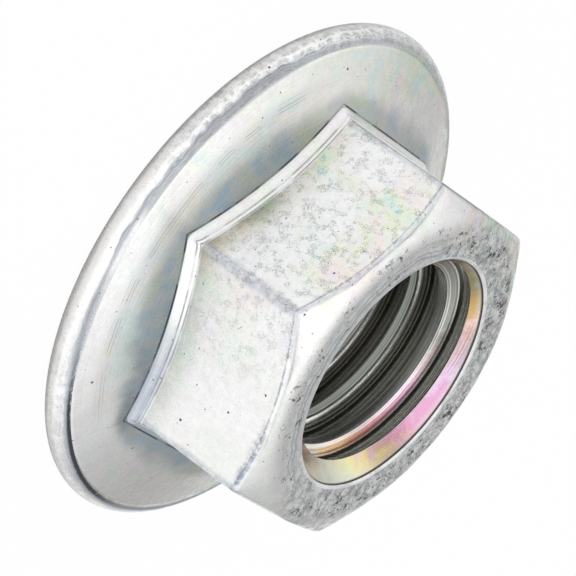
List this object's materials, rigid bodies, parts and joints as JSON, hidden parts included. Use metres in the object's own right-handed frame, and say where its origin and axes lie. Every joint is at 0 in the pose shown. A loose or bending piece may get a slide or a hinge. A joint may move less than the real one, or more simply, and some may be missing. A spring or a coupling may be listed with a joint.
{
  "type": "serrated flange nut",
  "caption": "Hexagon nut forged in one piece with a round, cone-topped flange; a threaded hole countersunk at both ends, and ratchet teeth in the bearing face.",
  "frame": {"origin": "centre of the bearing face, under the flange", "axes": "+Z along the thread's axis, from the bearing face to the hexagon's open end; +X out of one flat of the hexagon"},
  "size_m": [0.022, 0.022, 0.0082],
  "materials": {
    "zinc_steel": "satin zinc plate"
  },
  "bodies": {
    "root": {"flange_nut": "zinc_steel"}
  },
  "joints": []
}
